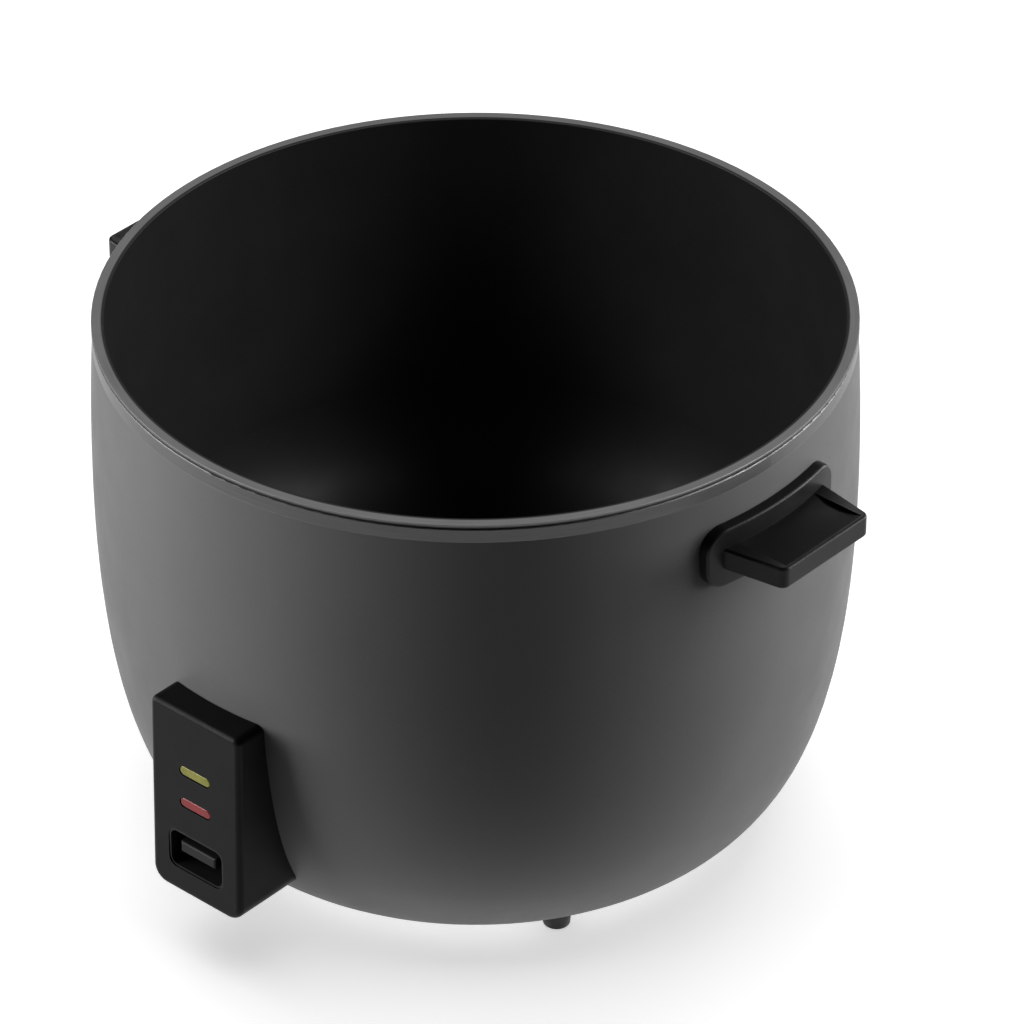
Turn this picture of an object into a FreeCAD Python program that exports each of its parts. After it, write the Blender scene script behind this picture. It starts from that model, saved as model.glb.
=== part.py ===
import FreeCAD, Part
import math
import os

Vector = FreeCAD.Vector
os.makedirs("parts", exist_ok=True)

# Commercial drum rice cooker, millimetres. +Z is up, the floor is z = 0 and the drum's axis is x = y = 0.
# The control box faces -Y, the power inlet faces +Y and the two handles point along +X and -X.

# ---- driving dimensions: drum and pot ----
MOUTH_R = 200.0           # inner pot, inside radius at the mouth
TOP_Z = 314.0             # top face of the pot's flange
RIM_R = 207.0             # outside radius of the rim ring and of the pot's flange
DRUM_R = 209.5            # widest radius of the painted drum
WAIST_Z = 218.8           # height of the widest place
NECK_NARROWING = 2.688    # how much the drum narrows from the waist to the band
BAND_BOTTOM_Z = 303.4     # lower edge of the rim band
DRUM_DROP = 212.2         # waist to the virtual bottom of the rounded outline
SIDE_POWER = 7.7          # squareness of the outline sideways
DROP_POWER = 2.2          # squareness of the outline downwards
SHELL_WALL = 1.0
SHELL_END_R = 152.0       # where the rounded bottom turns into the flat base flange
SHELL_FLANGE_Z = 14.0     # underside of the base flange
SHELL_FLANGE_R = 128.0    # inner edge of the base flange
LEVER_SLOT_HALF_X = 4.5   # opening in the drum for the lever
LEVER_SLOT_LOW_Z = 46.4
LEVER_SLOT_TOP_Z = 64.0
LAMP_HOLE_R = 4.0
LAMP_HOLE_Z = 116.0
INLET_HOLE_R = 12.5
INLET_HOLE_Z = 67.0
NECK_R = 205.7            # joggled neck that the rim ring fits over
NECK_TOP_Z = 309.4
RING_FIT = 0.1            # the rim ring's slip fit over the neck

POT_WALL = 2.6
POT_FLANGE = 2.0
POT_FLOOR_Z = 82.0        # inside floor of the pot
POT_TAPER = 7.6           # loss of radius from the mouth to the floor
POT_CORNER_R = 58.0       # inside bottom corner
POT_LIFT_GAP = 0.4        # flange above the ring, so that the pot's weight is on the heating plate

JACKET_TOP_R = 203.6
JACKET_LOW_R = 194.0      # the jacket's cone carried down to its floor
JACKET_WALL = 0.8
JACKET_FLOOR_Z = 52.0
JACKET_CORNER_R = 78.0

# ---- driving dimensions: base, heating plate and thermostat ----
BASE_R = 150.0
BASE_WALL = 1.2
FOOT_RING_R = 140.0
FOOT_R = 8.4
FOOT_LOW_R = 7.5
FOOT_SINK = 5.0           # depth of the hole that hides the foot's screw head
FOOT_ANGLES = (-30, 90, 210)
BASE_SCREW_ANGLES = (30, 150, 270)
PLATE_R = 140.0
PLATE_THICK = 12.0
PLATE_HOLE_R = 24.0
ELEMENT_RING_R = 95.0
ELEMENT_R = 4.0
ELEMENT_TAIL_ANGLE = 170.0   # the two cold ends stand 10 degrees each side of -X
SUPPORT_RING_R = 108.0
SUPPORT_R = 5.0
SENSOR_R = 20.0           # moving cap that touches the pot
SENSOR_PRESS = 1.5        # travel left below the cap with the pot in
SENSOR_RISE = 5.0         # how far the cap comes up when the pot is out
SENSOR_WALL = 1.4
SENSOR_TOP_WALL = 2.0
FERRITE_R = 15.0
FERRITE_THICK = 7.0
MAGNET_R = 10.5
MAGNET_THICK = 6.0
CUP_WALL = 1.0
SHEET = 1.2               # pressed sheet of the guide, the cap's flange and the magnet's cup
GUIDE_R = 23.2
GUIDE_LOW_Z = 46.0
GUIDE_FLANGE_R = 34.0
GUIDE_SCREW_RING_R = 29.0
GUIDE_SCREW_ANGLES = (0, 120, 240)
SENSOR_COIL_R = 16.2
SENSOR_WIRE_R = 0.6
COIL_TURNS = 5
SUPPORT_ANGLES = (30, 150, 330)
LEVER_PIVOT_Y = -86.0
LEVER_PIVOT_Z = 34.0
LEVER_DEGREES = 3.5       # full press
BLADE_HALF_X = 1.5        # the lever is a plate that stands on edge
BLADE_HALF_W = 3.5
PIVOT_R = 2.0
CLEVIS_PIN_R = 1.2
FORK_WALL = 1.4           # cheeks of the pull rod's fork
RUNNING_GAP = 0.06
LEVER_ROUTE = [(-212.5, 72.5), (-203, 72.5), (-203, 59.8), (-176, 57.0),
               (-156, 39.0), (-138, 34), (-86, 34), (2, 34)]     # the lever's middle line, (y, z)
SPRING_Y = -120.8
LEVER_COIL_R = 3.8
LEVER_WIRE_R = 0.45
BRACKET_SCREW_PLACES = [(-9.5, LEVER_PIVOT_Y), (9.5, LEVER_PIVOT_Y)]
SWITCH_Y = -104.0
SWITCH_HALF_X = 5.0
SWITCH_HALF_Y = 10.0
SWITCH_TOP_Z = 26.0
SWITCH_SCREW_PLACES = [(0, SWITCH_Y - 7), (0, SWITCH_Y + 7)]
SWITCH_SCREW_SINK = 4.0
PLUNGER_R = 1.5

# ---- driving dimensions: control box, inlet and handles ----
BOX_HALF_X = 32.8
BOX_LOW_Z = 42.9
BOX_TOP_Z = 163.7
BOX_FACE_LOW_Y = -227.3
BOX_FACE_TOP_Y = -224.8
BOX_BACK_Y = -150.0       # reach of the raw block before the drum is cut out of it
BOX_WALL = 2.5
BOX_TOP_CORNER_R = 4.5
BOX_LOW_CORNER_R = 10.0
BOX_EDGE_R = 3.4
LENS_LENGTH = 22.4
LENS_HEIGHT = 6.0
LENS_SLACK = 0.5
WARM_LENS_Z = 125.2
COOK_LENS_Z = 104.3
WELL_HALF_X = 20.2
WELL_LOW_Z = 58.6
WELL_TOP_Z = 84.0
WELL_CORNER_R = 6.0
WELL_BACK_Y = -210.0
WELL_WALL = 1.2
KNOB_HALF_X = 12.8
KNOB_LOW_Z = 69.0
KNOB_TOP_Z = 76.0
KNOB_FACE_Y = -225.0
LAMP_R = 2.4
LAMP_BEHIND_FACE = 7.2    # box face to the lamp's middle
INLET_FACE_Y = 227.3
INLET_HALF_X = 31.0
INLET_LOW_Z = 42.0
INLET_TOP_Z = 96.0
SOCKET_Z = 69.0
SOCKET_HALF_X = 17.0
SOCKET_HALF_Z = 12.5
SOCKET_DEPTH = 26.0
PIN_PLACES = [(-6.5, -4.0), (6.5, -4.0), (0.0, 4.0)]      # (x, height above the socket's middle)
HANDLE_REACH = 246.5
HANDLE_TIP_HALF_Y = 34.9
HANDLE_ROOT_HALF_Y = 41.4
HANDLE_TOP_Z = 274.0
HANDLE_THICK = 12.9
DISH_DEPTH = 2.2          # hollows in the paddle's top and underside
PAD_HALF_Y = 51.0         # the handle's backing pad against the drum
PAD_LOW_Z = 249.4
PAD_TOP_Z = 285.5
PAD_THICK = 5.6
HANDLE_SCREW_YS = (-30, 30)
HANDLE_SCREW_Z = 267.5
CONTROL_SCREW_PLACES = [(-24, 150), (24, 150), (-25, 55), (25, 55)]
INLET_SCREW_PLACES = [(-23, 88), (23, 88), (-23, 50), (23, 50)]
BOSS_R = 4.0              # screw bosses of the control box and the inlet
SEAT_GAP = 0.05           # between a moulding and the drum that it sits on
ARCS_PER_TURN = 6         # of a spring's wire
NECK_STEPS = 5            # outline points above the waist
SIDE_STEPS = 18           # outline points below it
SEAM_TURN = 45.0          # keeps the turned shell's seam away from every hole

# ---- driving dimensions: electrics ----
WARM_STAT_PLACE = (46.0, -38.0)
HEATER_LOW_Z = 172.0
HEATER_HIGH_Z = 212.0
HEATER_THICK = 1.8
HEATER_GAP = 0.15
FUSE_X = -52.0
FUSE_Z = 62.9
FUSE_R = 2.6
TERMINAL_X = 46.0
TERMINAL_Y = 96.0
TERMINAL_HEIGHT = 16.0
TERMINAL_SOLE = 5.0
TERMINAL_PITCH = 9.4
TERMINAL_SCREW_PLACES = [(TERMINAL_X - 18, TERMINAL_Y), (TERMINAL_X + 18, TERMINAL_Y)]
LEAD_R = 1.4
LAMP_LEAD_R = 0.8

# ---- fasteners, shank radii ----
SMALL_SCREW_R = 1.25
FOOT_SCREW_R = 1.5
POST_SCREW_R = 2.0
SHELL_HOLE_R = 1.7        # clearance for a small screw through the drum
HANDLE_HOLE_R = 2.6

# ---- heights that follow from the driving dimensions ----
BASE_TOP_Z = SHELL_FLANGE_Z
BASE_LOW_Z = BASE_TOP_Z - BASE_WALL
FLANGE_LOW_Z = TOP_Z - POT_FLANGE
RING_TOP_Z = FLANGE_LOW_Z - POT_LIFT_GAP
PLATE_TOP_Z = POT_FLOOR_Z - POT_WALL
PLATE_LOW_Z = PLATE_TOP_Z - PLATE_THICK
BLADE_TURN = math.radians(LEVER_DEGREES)
MAGNET_TRAVEL = abs(LEVER_PIVOT_Y) * BLADE_TURN
CAP_LOW_Z = PLATE_LOW_Z - 2 * SHEET - SENSOR_RISE
FERRITE_TOP_Z = PLATE_TOP_Z - SENSOR_TOP_WALL
FERRITE_LOW_Z = FERRITE_TOP_Z - FERRITE_THICK
MAGNET_TOP_Z = FERRITE_LOW_Z - MAGNET_TRAVEL
MAGNET_LOW_Z = MAGNET_TOP_Z - MAGNET_THICK
CUP_LOW_Z = MAGNET_LOW_Z - SHEET
BLADE_LOW_Z = LEVER_PIVOT_Z - BLADE_HALF_W
FORK_HALF_X = BLADE_HALF_X + 1.9
SOCKET_FACE_Y = INLET_FACE_Y - 0.6
SOCKET_BACK_Y = INLET_FACE_Y - SOCKET_DEPTH
TERMINAL_TOP_Z = BASE_TOP_Z + TERMINAL_HEIGHT
UP = Vector(0, 0, 1)


# ================= general helpers =================
def save(name, shape):
    shape.exportStep("parts/" + name + ".step")


def union(shapes):
    """One solid from shapes that touch or overlap."""
    return shapes[0].fuse(shapes[1:]).removeSplitter()


def group(shapes):
    """Separate solids that share one node."""
    return Part.makeCompound(shapes)


def cylinder(radius, low, high, x=0.0, y=0.0):
    return Part.makeCylinder(radius, high - low, Vector(x, y, low), UP)


def tube(outer, inner, low, high, x=0.0, y=0.0):
    return cylinder(outer, low, high, x, y).cut(cylinder(inner, low - 1, high + 1, x, y))


def rod_x(radius, x0, x1, y, z):
    return Part.makeCylinder(radius, x1 - x0, Vector(x0, y, z), Vector(1, 0, 0))


def rod_y(radius, y0, y1, x, z):
    return Part.makeCylinder(radius, y1 - y0, Vector(x, y0, z), Vector(0, 1, 0))


def block(x0, x1, y0, y1, z0, z1):
    return Part.makeBox(x1 - x0, y1 - y0, z1 - z0, Vector(x0, y0, z0))


def edges_along(shape, direction, keep=lambda point: True):
    """Straight edges of the shape that run along a direction and whose middle passes the test."""
    found = []
    for edge in shape.Edges:
        if edge.Curve.TypeId != "Part::GeomLine":
            continue
        along = edge.Vertexes[-1].Point.sub(edge.Vertexes[0].Point)
        if along.Length < 1e-6:
            continue
        if abs(along.normalize().dot(direction)) > 0.999 and keep(edge.CenterOfMass):
            found.append(edge)
    return found


def round_block(x0, x1, y0, y1, z0, z1, radius, direction):
    """A block with its four edges along one direction rounded."""
    body = block(x0, x1, y0, y1, z0, z1)
    return body.makeFillet(radius, edges_along(body, direction))


def pill_y(length, height, y0, y1, z, x=0.0):
    """A bar along Y with a section that is round at both ends of X."""
    half = (length - height) / 2
    middle = block(x - half, x + half, y0, y1, z - height / 2, z + height / 2)
    ends = [rod_y(height / 2, y0, y1, x + side * half, z) for side in (-1, 1)]
    return union([middle] + ends)


def line(a, b):
    return Part.LineSegment(Vector(*a), Vector(*b)).toShape()


def turned(points):
    """Solid of revolution about Z from a closed outline of (radius, height) points."""
    corners = [Vector(r, 0, z) for r, z in points]
    wire = Part.makePolygon(corners + [corners[0]])
    return Part.Face(wire).revolve(Vector(0, 0, 0), UP, 360)


def turned_edges(edges):
    """Solid of revolution about Z from the edges of a closed outline in the XZ plane."""
    wire = Part.Wire(Part.__sortEdges__(edges))
    return Part.Face(wire).revolve(Vector(0, 0, 0), UP, 360)


def round_edge_at(shape, radius_at, height, fillet):
    """Round the circular edge of a turned shape that has this radius and height."""
    chosen = []
    for edge in shape.Edges:
        if edge.Curve.TypeId != "Part::GeomCircle":
            continue
        near_height = abs(edge.Curve.Center.z - height) < 1e-3
        if near_height and abs(edge.Curve.Radius - radius_at) < 1e-3:
            chosen.append(edge)
    return shape.makeFillet(fillet, chosen)


def plate_yz(points, x0, x1):
    """A flat plate from an outline of (y, z) points, between two x planes."""
    corners = [Vector(x0, y, z) for y, z in points]
    wire = Part.makePolygon(corners + [corners[0]])
    return Part.Face(wire).extrude(Vector(x1 - x0, 0, 0))


def bar_along(points, half_width, x0, x1):
    """A flat bar that follows (y, z) points, with round ends and joints."""
    pieces = []
    for y, z in points:
        pieces.append(rod_x(half_width, x0, x1, y, z))
    for (ya, za), (yb, zb) in zip(points, points[1:]):
        length = math.hypot(yb - ya, zb - za)
        ny = -(zb - za) / length * half_width
        nz = (yb - ya) / length * half_width
        outline = [(ya + ny, za + nz), (yb + ny, zb + nz), (yb - ny, zb - nz), (ya - ny, za - nz)]
        pieces.append(plate_yz(outline, x0, x1))
    return union(pieces)


def aimed(shape, origin, direction):
    """Place a shape that was made along +Z at a point, so that its +Z runs along a direction."""
    copy = shape.copy()
    copy.Placement = FreeCAD.Placement(Vector(*origin), FreeCAD.Rotation(UP, Vector(*direction)))
    return copy


def screw(origin, direction, head_r, head_h, shank_r, length):
    """Pan-head cross-recess screw: the head stands behind the origin and the shank runs forward."""
    head = cylinder(head_r, -head_h, 0)
    head = round_edge_at(head, head_r, -head_h, head_h * 0.45)
    cross = [block(-head_r * 0.6, head_r * 0.6, -0.35, 0.35, -head_h, -head_h * 0.45),
             block(-0.35, 0.35, -head_r * 0.6, head_r * 0.6, -head_h, -head_h * 0.45)]
    body = union([head, cylinder(shank_r, 0, length)]).cut(union(cross))
    return aimed(body, origin, direction)


def coil(mean_r, wire_r, low, high):
    """Compression spring with its wire's outer faces at the two heights, centred on Z.
    The wire follows short arcs through points of the helix."""
    pitch = (high - low - 2 * wire_r) / COIL_TURNS
    step = 2 * math.pi / ARCS_PER_TURN

    def place(steps):
        turned_by = steps * step
        rise = pitch * turned_by / (2 * math.pi)
        x, y = mean_r * math.cos(turned_by), mean_r * math.sin(turned_by)
        return Vector(x, y, low + wire_r + rise)

    arcs = [Part.Arc(place(i), place(i + 0.5), place(i + 1)).toShape()
            for i in range(ARCS_PER_TURN * COIL_TURNS)]
    heading = Vector(0, mean_r, pitch / (2 * math.pi))
    section = Part.Wire(Part.makeCircle(wire_r, place(0), heading))
    return Part.Wire(arcs).makePipeShell([section], True, False)


def lead(points, radius):
    """A round wire through points: straight runs joined by tangent arcs, as large as the runs allow."""
    stops = [Vector(*p) for p in points]
    edges = []
    start = stops[0]
    for before, corner, after in zip(stops, stops[1:], stops[2:]):
        back = before.sub(corner)
        ahead = after.sub(corner)
        shorter = min(back.Length, ahead.Length)
        back.normalize()
        ahead.normalize()
        trim = 0.45 * shorter
        first = corner.add(back * trim)
        last = corner.add(ahead * trim)
        turn = math.pi - back.getAngle(ahead)
        bend = trim / math.tan(turn / 2)
        middle_way = back.add(ahead).normalize()
        centre = corner.add(middle_way * math.hypot(bend, trim))
        top = centre.sub(middle_way * bend)
        edges.append(Part.LineSegment(start, first).toShape())
        edges.append(Part.Arc(first, top, last).toShape())
        start = last
    edges.append(Part.LineSegment(start, stops[-1]).toShape())
    path = Part.Wire(edges)
    heading = stops[1].sub(stops[0])
    section = Part.Wire(Part.makeCircle(radius, stops[0], heading))
    return path.makePipeShell([section], True, False)


def ring_place(radius, degrees):
    """The (x, y) of a place on a ring about Z."""
    turn = math.radians(degrees)
    return radius * math.cos(turn), radius * math.sin(turn)


# ================= drum outline =================
def drum_radius(z):
    """Outside radius of the painted drum at a height."""
    if z >= WAIST_Z:
        rise = (z - WAIST_Z) / (BAND_BOTTOM_Z - WAIST_Z)
        return DRUM_R - NECK_NARROWING * rise ** 2
    drop = (WAIST_Z - z) / DRUM_DROP
    return DRUM_R * (1 - drop ** DROP_POWER) ** (1 / SIDE_POWER)


def drum_outline(inset):
    """Points of the drum's outline from the band down, moved inwards along the normal."""
    last = math.acos((SHELL_END_R / DRUM_R) ** (SIDE_POWER / 2))
    raw = []
    for step in range(NECK_STEPS):
        z = BAND_BOTTOM_Z + (WAIST_Z - BAND_BOTTOM_Z) * step / NECK_STEPS
        raw.append((drum_radius(z), z))
    for step in range(SIDE_STEPS + 1):
        t = last * step / SIDE_STEPS
        z = WAIST_Z - DRUM_DROP * math.sin(t) ** (2 / DROP_POWER)
        raw.append((DRUM_R * math.cos(t) ** (2 / SIDE_POWER), z))
    moved = []
    for index, (r, z) in enumerate(raw):
        r_before, z_before = raw[max(index - 1, 0)]
        r_after, z_after = raw[min(index + 1, len(raw) - 1)]
        length = math.hypot(r_after - r_before, z_after - z_before)
        normal_r = -(z_after - z_before) / length
        normal_z = (r_after - r_before) / length
        moved.append((r - normal_r * inset, z - normal_z * inset))
    return moved


def smooth_edge(points):
    """One smooth curve within 0.02 mm of the points, exact at both ends."""
    stops = [Vector(r, 0, z) for r, z in points]
    curve = Part.BSplineCurve()
    curve.approximate(Points=stops, DegMin=3, DegMax=5, Tolerance=0.02, Continuity="C2")
    curve.setPole(1, stops[0])
    curve.setPole(curve.NbPoles, stops[-1])
    return curve.toShape()


def chain(points):
    """Straight edges through (radius, height) points."""
    return [line((a[0], 0, a[1]), (b[0], 0, b[1])) for a, b in zip(points, points[1:])]


def drum_core(outset):
    """Everything inside the drum's outer face, moved out by a small gap: a cutter for what sits on it."""
    outer = drum_outline(-outset)
    closing = [outer[-1], (0, outer[-1][1]), (0, outer[0][1]), outer[0]]
    return turned_edges([smooth_edge(outer)] + chain(closing))


DRUM_CUTTER = drum_core(SEAT_GAP)


def make_outer_shell():
    outer = drum_outline(0)
    inner = drum_outline(SHELL_WALL)
    ledge_z = BAND_BOTTOM_Z - SHELL_WALL
    inner = [point for point in inner if point[1] < ledge_z - 1]
    inner_top = (drum_radius(ledge_z) - SHELL_WALL, ledge_z)
    inner = [inner_top] + inner
    flange_top_z = SHELL_FLANGE_Z + SHELL_WALL
    bottom = [outer[-1], (SHELL_END_R - 3, SHELL_FLANGE_Z), (SHELL_FLANGE_R, SHELL_FLANGE_Z),
              (SHELL_FLANGE_R, flange_top_z), (SHELL_END_R - 3.3, flange_top_z), inner[-1]]
    neck_inner_r = NECK_R - SHELL_WALL
    top = [inner_top, (neck_inner_r, ledge_z), (neck_inner_r, NECK_TOP_Z), (NECK_R, NECK_TOP_Z),
           (NECK_R, BAND_BOTTOM_Z), outer[0]]
    shell = turned_edges([smooth_edge(outer)] + chain(bottom) + [smooth_edge(inner)] + chain(top))
    shell.rotate(Vector(0, 0, 0), UP, SEAM_TURN)
    cuts = [block(-LEVER_SLOT_HALF_X, LEVER_SLOT_HALF_X, -200, -170, LEVER_SLOT_LOW_Z, LEVER_SLOT_TOP_Z)]
    cuts.append(rod_y(LAMP_HOLE_R, -215, -195, 0, LAMP_HOLE_Z))
    cuts.append(rod_y(INLET_HOLE_R, 170, 215, 0, INLET_HOLE_Z))
    for x, z in CONTROL_SCREW_PLACES:
        cuts.append(rod_y(SHELL_HOLE_R, -215, -165, x, z))
    for x, z in INLET_SCREW_PLACES:
        cuts.append(rod_y(SHELL_HOLE_R, 165, 215, x, z))
    for y in HANDLE_SCREW_YS:
        cuts.append(rod_x(HANDLE_HOLE_R, -215, -195, y, HANDLE_SCREW_Z))
        cuts.append(rod_x(HANDLE_HOLE_R, 195, 215, y, HANDLE_SCREW_Z))
    for angle in FOOT_ANGLES + BASE_SCREW_ANGLES:
        x, y = ring_place(FOOT_RING_R, angle)
        cuts.append(cylinder(FOOT_SCREW_R, 10, 20, x, y))
    return shell.cut(cuts)


# ================= rim, pot, jacket =================
def make_rim_ring():
    inner = JACKET_TOP_R
    flange_z = NECK_TOP_Z + JACKET_WALL
    sleeve_r = NECK_R + RING_FIT
    ring = turned([(sleeve_r, BAND_BOTTOM_Z), (RIM_R, BAND_BOTTOM_Z), (RIM_R, RING_TOP_Z),
                   (inner, RING_TOP_Z), (inner, flange_z), (sleeve_r, flange_z)])
    return round_edge_at(ring, RIM_R, RING_TOP_Z, 0.8)


def make_inner_jacket():
    def bucket(top_r, low_r, floor_z, top_z, corner):
        solid = turned([(0, floor_z), (low_r, floor_z), (top_r, top_z), (0, top_z)])
        return round_edge_at(solid, low_r, floor_z, corner)
    top_z = NECK_TOP_Z + JACKET_WALL
    outside = bucket(JACKET_TOP_R + JACKET_WALL, JACKET_LOW_R + JACKET_WALL, JACKET_FLOOR_Z, top_z,
                     JACKET_CORNER_R + JACKET_WALL)
    inside = bucket(JACKET_TOP_R, JACKET_LOW_R, JACKET_FLOOR_Z + JACKET_WALL, top_z, JACKET_CORNER_R)
    flange = tube(NECK_R, JACKET_TOP_R - 1, NECK_TOP_Z, top_z)
    jacket = union([outside, flange]).cut(inside)
    holes = [cylinder(GUIDE_R + 1.0, 40, 60)]
    for angle in SUPPORT_ANGLES:
        x, y = ring_place(SUPPORT_RING_R, angle)
        holes.append(cylinder(SUPPORT_R + 0.8, 40, 60, x, y))
    for x, y in element_tail_places():
        holes.append(cylinder(7.0, 40, 60, x, y))
    return jacket.cut(holes)


def make_inner_pot():
    def bowl(mouth_r, floor_r, floor_z, corner):
        solid = turned([(0, floor_z), (floor_r, floor_z), (mouth_r, TOP_Z), (0, TOP_Z)])
        return round_edge_at(solid, floor_r, floor_z, corner)
    inside = bowl(MOUTH_R, MOUTH_R - POT_TAPER, POT_FLOOR_Z, POT_CORNER_R)
    outside = bowl(MOUTH_R + POT_WALL, MOUTH_R - POT_TAPER + POT_WALL, POT_FLOOR_Z - POT_WALL,
                   POT_CORNER_R + POT_WALL)
    flange = cylinder(RIM_R, FLANGE_LOW_Z, TOP_Z)
    pot = union([outside, flange]).cut(inside)
    pot = round_edge_at(pot, RIM_R, TOP_Z, 0.6)
    pot = round_edge_at(pot, RIM_R, FLANGE_LOW_Z, 0.6)
    return round_edge_at(pot, MOUTH_R, TOP_Z, 0.8)


# ================= base and feet =================
def make_base_plate():
    plate = cylinder(BASE_R, BASE_LOW_Z, BASE_TOP_Z)
    cuts = []
    for angle in FOOT_ANGLES + BASE_SCREW_ANGLES:
        x, y = ring_place(FOOT_RING_R, angle)
        cuts.append(cylinder(FOOT_SCREW_R, 10, 20, x, y))
    for angle in SUPPORT_ANGLES:
        x, y = ring_place(SUPPORT_RING_R, angle)
        cuts.append(cylinder(POST_SCREW_R, 10, 20, x, y))
    for row in range(4):
        slot_y = 52 + row * 11
        vent = round_block(-84, -46, slot_y - 2, slot_y + 2, 10, 16, 1.9, UP)
        cuts.append(vent)
        cuts.append(vent.mirror(Vector(0, 0, 0), Vector(0, 1, 0)))
        cuts.append(round_block(46, 84, -slot_y - 2, -slot_y + 2, 10, 16, 1.9, UP))
    for x, y in BRACKET_SCREW_PLACES + SWITCH_SCREW_PLACES + TERMINAL_SCREW_PLACES:
        cuts.append(cylinder(SMALL_SCREW_R, 10, 20, x, y))
    return plate.cut(cuts)


def make_foot(angle):
    x, y = ring_place(FOOT_RING_R, angle)
    foot = Part.makeCone(FOOT_LOW_R, FOOT_R, BASE_LOW_Z, Vector(0, 0, 0), UP)
    foot = round_edge_at(foot, FOOT_LOW_R, 0, 1.2)
    foot = foot.cut([cylinder(4.2, -1, FOOT_SINK), cylinder(FOOT_SCREW_R, 0, 20)])
    foot.translate(Vector(x, y, 0))
    return foot


def make_foot_screws():
    screws = []
    for angle in FOOT_ANGLES:
        x, y = ring_place(FOOT_RING_R, angle)
        screws.append(screw((x, y, FOOT_SINK), (0, 0, 1), 3.6, 2.2, FOOT_SCREW_R, 13.5))
    return group(screws)


def make_base_screws():
    screws = []
    for angle in BASE_SCREW_ANGLES:
        x, y = ring_place(FOOT_RING_R, angle)
        screws.append(screw((x, y, BASE_LOW_Z), (0, 0, 1), 3.4, 2.0, FOOT_SCREW_R, 7.0))
    return group(screws)


# ================= heating plate =================
def element_tail_places():
    return [ring_place(ELEMENT_RING_R, turn) for turn in (ELEMENT_TAIL_ANGLE, 360 - ELEMENT_TAIL_ANGLE)]


def element_sheath():
    """Pieces of the element that lie in the plate: an open ring and two cold ends turned down."""
    start = Vector(ELEMENT_RING_R, 0, PLATE_LOW_Z)
    section = Part.Face(Part.Wire(Part.makeCircle(ELEMENT_R, start, Vector(0, 1, 0))))
    section.rotate(Vector(0, 0, 0), UP, -ELEMENT_TAIL_ANGLE)
    ring = section.revolve(Vector(0, 0, 0), UP, 2 * ELEMENT_TAIL_ANGLE)
    tails = [cylinder(ELEMENT_R - 0.4, 58, PLATE_LOW_Z, x, y) for x, y in element_tail_places()]
    return [ring] + tails


def make_heating_element():
    pins = [cylinder(1.6, 44, 59, x, y) for x, y in element_tail_places()]
    return union(element_sheath() + pins)


def make_heating_plate():
    plate = cylinder(PLATE_R, PLATE_LOW_Z, PLATE_TOP_Z)
    plate = round_edge_at(plate, PLATE_R, PLATE_TOP_Z, 3.0)
    rib_z = PLATE_LOW_Z - 3
    rib = turned([(ELEMENT_RING_R - 7, PLATE_LOW_Z), (ELEMENT_RING_R - 5, rib_z), (ELEMENT_RING_R + 5, rib_z),
                  (ELEMENT_RING_R + 7, PLATE_LOW_Z)])
    plate = union([plate, rib])
    for piece in element_sheath():
        plate = plate.cut(piece)
    cuts = [cylinder(PLATE_HOLE_R, 50, 90)]
    for angle in SUPPORT_ANGLES:
        x, y = ring_place(SUPPORT_RING_R, angle)
        cuts.append(cylinder(POST_SCREW_R, 60, PLATE_LOW_Z + 7, x, y))
    for angle in GUIDE_SCREW_ANGLES:
        x, y = ring_place(GUIDE_SCREW_RING_R, angle)
        cuts.append(cylinder(SMALL_SCREW_R, 60, PLATE_LOW_Z + 6, x, y))
    return plate.cut(cuts)


def make_plate_supports():
    posts = []
    for angle in SUPPORT_ANGLES:
        x, y = ring_place(SUPPORT_RING_R, angle)
        posts.append(tube(SUPPORT_R, POST_SCREW_R, BASE_TOP_Z, PLATE_LOW_Z, x, y))
    return group(posts)


def make_support_screws():
    screws = []
    for angle in SUPPORT_ANGLES:
        x, y = ring_place(SUPPORT_RING_R, angle)
        length = PLATE_LOW_Z + 6.5 - BASE_LOW_Z
        screws.append(screw((x, y, BASE_LOW_Z), (0, 0, 1), 4.2, 2.6, POST_SCREW_R, length))
    return group(screws)


# ================= thermostat under the pot =================
def make_sensor_guide():
    """Flanged cup that hangs from the plate; the cap slides in its mouth."""
    plate_z = PLATE_LOW_Z - SHEET
    pieces = [tube(GUIDE_FLANGE_R, SENSOR_R + 0.4, plate_z, PLATE_LOW_Z),
              tube(GUIDE_R, GUIDE_R - SHEET, GUIDE_LOW_Z, plate_z),
              tube(GUIDE_R, MAGNET_R + 2.0, GUIDE_LOW_Z, GUIDE_LOW_Z + SHEET)]
    holes = []
    for angle in GUIDE_SCREW_ANGLES:
        x, y = ring_place(GUIDE_SCREW_RING_R, angle)
        holes.append(cylinder(SMALL_SCREW_R, 60, 70, x, y))
    return union(pieces).cut(holes)


def make_guide_screws():
    screws = []
    for angle in GUIDE_SCREW_ANGLES:
        x, y = ring_place(GUIDE_SCREW_RING_R, angle)
        screws.append(screw((x, y, PLATE_LOW_Z - SHEET), (0, 0, 1), 2.5, 1.7, SMALL_SCREW_R, 6.0))
    return group(screws)


def make_sensor_cap():
    """Cup that touches the pot; its bottom flange stops under the guide when the pot is out."""
    wall_r = SENSOR_R - SENSOR_WALL
    lip_r = SENSOR_R + 1.6
    lip_top_z = CAP_LOW_Z + SHEET
    cap = turned([(0, FERRITE_TOP_Z), (wall_r, FERRITE_TOP_Z), (wall_r, CAP_LOW_Z), (lip_r, CAP_LOW_Z),
                  (lip_r, lip_top_z), (SENSOR_R, lip_top_z), (SENSOR_R, PLATE_TOP_Z), (0, PLATE_TOP_Z)])
    return round_edge_at(cap, SENSOR_R, PLATE_TOP_Z, 1.2)


def make_sensor_ferrite():
    return cylinder(FERRITE_R, FERRITE_LOW_Z, FERRITE_TOP_Z)


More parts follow.
